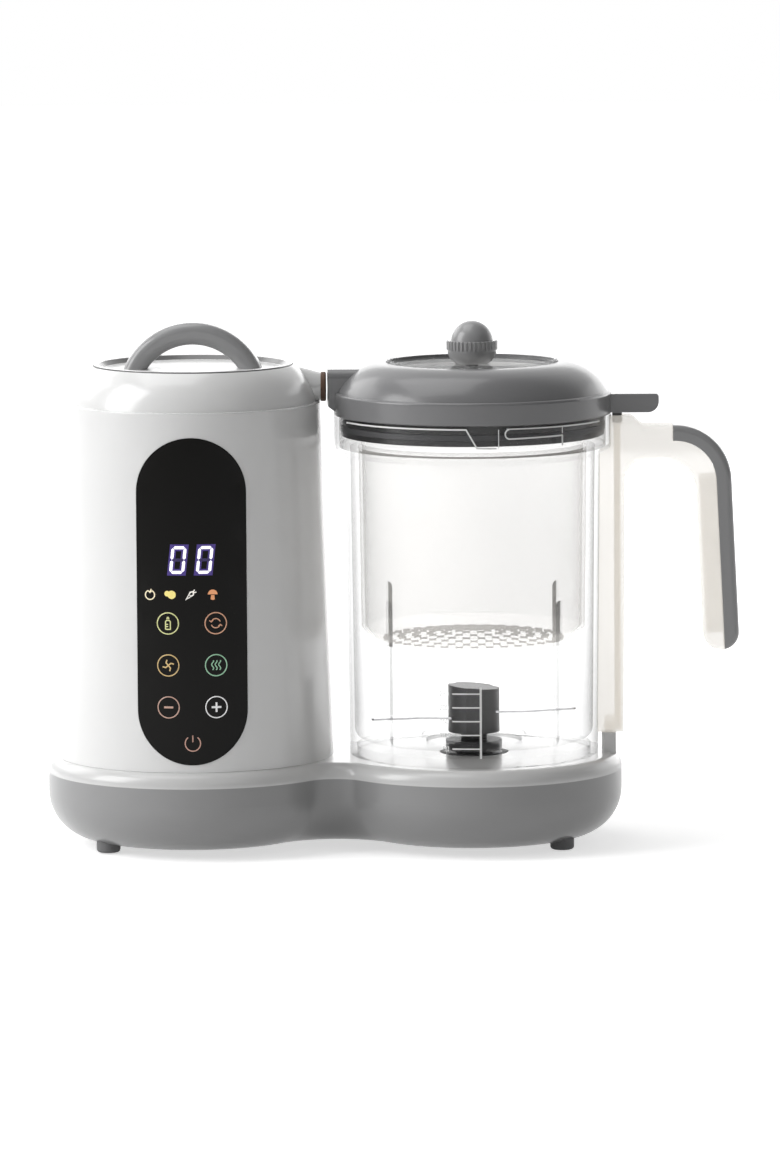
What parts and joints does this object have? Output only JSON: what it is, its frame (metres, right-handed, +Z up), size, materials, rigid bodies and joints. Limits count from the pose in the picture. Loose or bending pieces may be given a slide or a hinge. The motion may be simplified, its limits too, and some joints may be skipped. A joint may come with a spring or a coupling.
{
  "type": "baby food maker",
  "caption": "Countertop baby food maker: a white steam tower with a touch panel beside a clear blending jug with basket, lid and blades, on one figure-eight base.",
  "frame": {"origin": "on the table, under the middle of the overall length and depth", "axes": "+X from the tower to the jug handle, -Y towards the user and the control panel, +Z up"},
  "size_m": [0.3202, 0.1372, 0.2418],
  "materials": {
    "white_gloss": "smooth white moulding",
    "grey_gloss": "smooth mid-grey moulding",
    "clear_plastic": "clear moulding",
    "frosted_plastic": "milky translucent moulding",
    "black_gloss": "glossy black lens",
    "dark_plastic": "dark grey moulding",
    "post_grey": "grey moulding",
    "brown_silicone": "brown silicone",
    "pale_silicone": "pale silicone",
    "grey_rubber": "grey rubber",
    "black_rubber": "black belt rubber",
    "steel": "bare steel",
    "bronze": "sintered bronze",
    "aluminium": "cast aluminium",
    "tank_plastic": "heat resistant moulding",
    "board_green": "circuit board",
    "ferrite": "ferrite"
  },
  "bodies": {
    "base": {"base_shell": "grey_gloss", "base_deck": "white_gloss", "rubber_feet": "grey_rubber", "base_screws": "steel", "case_screws": "steel", "tower_shell": "white_gloss", "tower_cap": "white_gloss", "control_panel": "black_gloss", "control_board": "board_green", "small_screws": "steel", "display_module": "black_gloss", "touch_pads": "pale_silicone", "power_board": "board_green", "power_components": "dark_plastic", "cord_gland": "dark_plastic", "water_tank": "tank_plastic", "heater_seal": "pale_silicone", "heating_plate": "steel", "heating_element": "aluminium", "thermostat": "aluminium", "steam_pipe": "steel", "steam_seal": "brown_silicone", "motor_plate": "steel", "motor_end_bell": "dark_plastic", "motor_can": "steel", "motor_magnets": "ferrite", "drive_belt": "black_rubber", "bearing_housing": "dark_plastic", "output_bearings": "bronze", "interlock_switch": "dark_plastic", "interlock_post": "post_grey"},
    "tank_cover": {"tank_lid": "white_gloss", "tank_gasket": "pale_silicone", "arch_handle": "grey_gloss"},
    "blending_jug": {"jug": "clear_plastic", "handle_frame": "frosted_plastic", "handle_grip": "grey_gloss", "shaft_bush": "dark_plastic", "shaft_seal": "pale_silicone"},
    "seal_ring": {"lid_seal": "grey_rubber"},
    "lid": {"jug_lid": "grey_gloss"},
    "feed_plug": {"feed_cap": "clear_plastic", "feed_cap_seal": "pale_silicone"},
    "knob": {"knob_cup": "grey_gloss", "knob_ball": "grey_gloss"},
    "basket": {"steamer_basket": "frosted_plastic"},
    "blade_set": {"blades": "steel", "blade_hub": "dark_plastic", "blade_shaft": "steel", "jug_coupling": "dark_plastic"},
    "lock_rod": {"interlock_rod": "white_gloss"},
    "plunger": {"switch_plunger": "post_grey"},
    "output_drive": {"output_pulley": "dark_plastic", "output_shaft": "steel", "thrust_washer": "steel", "drive_coupling": "dark_plastic"},
    "motor_rotor": {"motor_armature": "steel", "commutator": "bronze", "motor_shaft": "steel", "motor_pulley": "dark_plastic"}
  },
  "joints": [
    {"name": "tank_lid_lift", "type": "slide", "parent": "base", "child": "tank_cover", "axis": [0, 0, 1], "range_m": [0, 0.1]},
    {"name": "jug_lift", "type": "slide", "parent": "base", "child": "blending_jug", "axis": [0, 0, 1], "range_m": [0, 0.1]},
    {"name": "lid_lift", "type": "slide", "parent": "blending_jug", "child": "seal_ring", "axis": [0, 0, 1], "range_m": [0, 0.24]},
    {"name": "lid_turn", "type": "hinge", "parent": "seal_ring", "child": "lid", "pos_m": [0.0373, 0, 0.1985], "axis": [0, 0, 1], "range_deg": [0, 30]},
    {"name": "cap_lift", "type": "slide", "parent": "lid", "child": "feed_plug", "axis": [0, 0, 1], "range_m": [0, 0.06]},
    {"name": "knob_turn", "type": "hinge", "parent": "feed_plug", "child": "knob", "pos_m": [0.0373, 0, 0.2216], "axis": [0, 0, 1], "range_deg": [0, 90]},
    {"name": "basket_lift", "type": "slide", "parent": "blending_jug", "child": "basket", "axis": [0, 0, 1], "range_m": [0, 0.12]},
    {"name": "drive_spin", "type": "hinge", "parent": "base", "child": "output_drive", "pos_m": [0.0373, 0, 0.0127], "axis": [0, 0, 1], "continuous": true},
    {"name": "blade_spin", "type": "hinge", "parent": "blending_jug", "child": "blade_set", "pos_m": [0.0373, 0, 0.041], "axis": [0, 0, 1], "continuous": true},
    {"name": "motor_spin", "type": "hinge", "parent": "base", "child": "motor_rotor", "pos_m": [-0.0915, 0, 0.052], "axis": [0, 0, 1], "continuous": true},
    {"name": "rod_slide", "type": "slide", "parent": "blending_jug", "child": "lock_rod", "axis": [0, 0, 1], "range_m": [0, 0.003]},
    {"name": "plunger_slide", "type": "slide", "parent": "base", "child": "plunger", "axis": [0, 0, 1], "range_m": [0, 0.003]}
  ],
  "couplings": [
    {"joint": "basket_lift", "follows": "lid_lift", "ratio": 0.5},
    {"joint": "blade_spin", "follows": "drive_spin", "ratio": 1},
    {"joint": "motor_spin", "follows": "drive_spin", "ratio": 3.3596},
    {"joint": "rod_slide", "follows": "lid_turn", "m_per_rad": 0.0057296},
    {"joint": "plunger_slide", "follows": "lid_turn", "m_per_rad": 0.0057296}
  ]
}
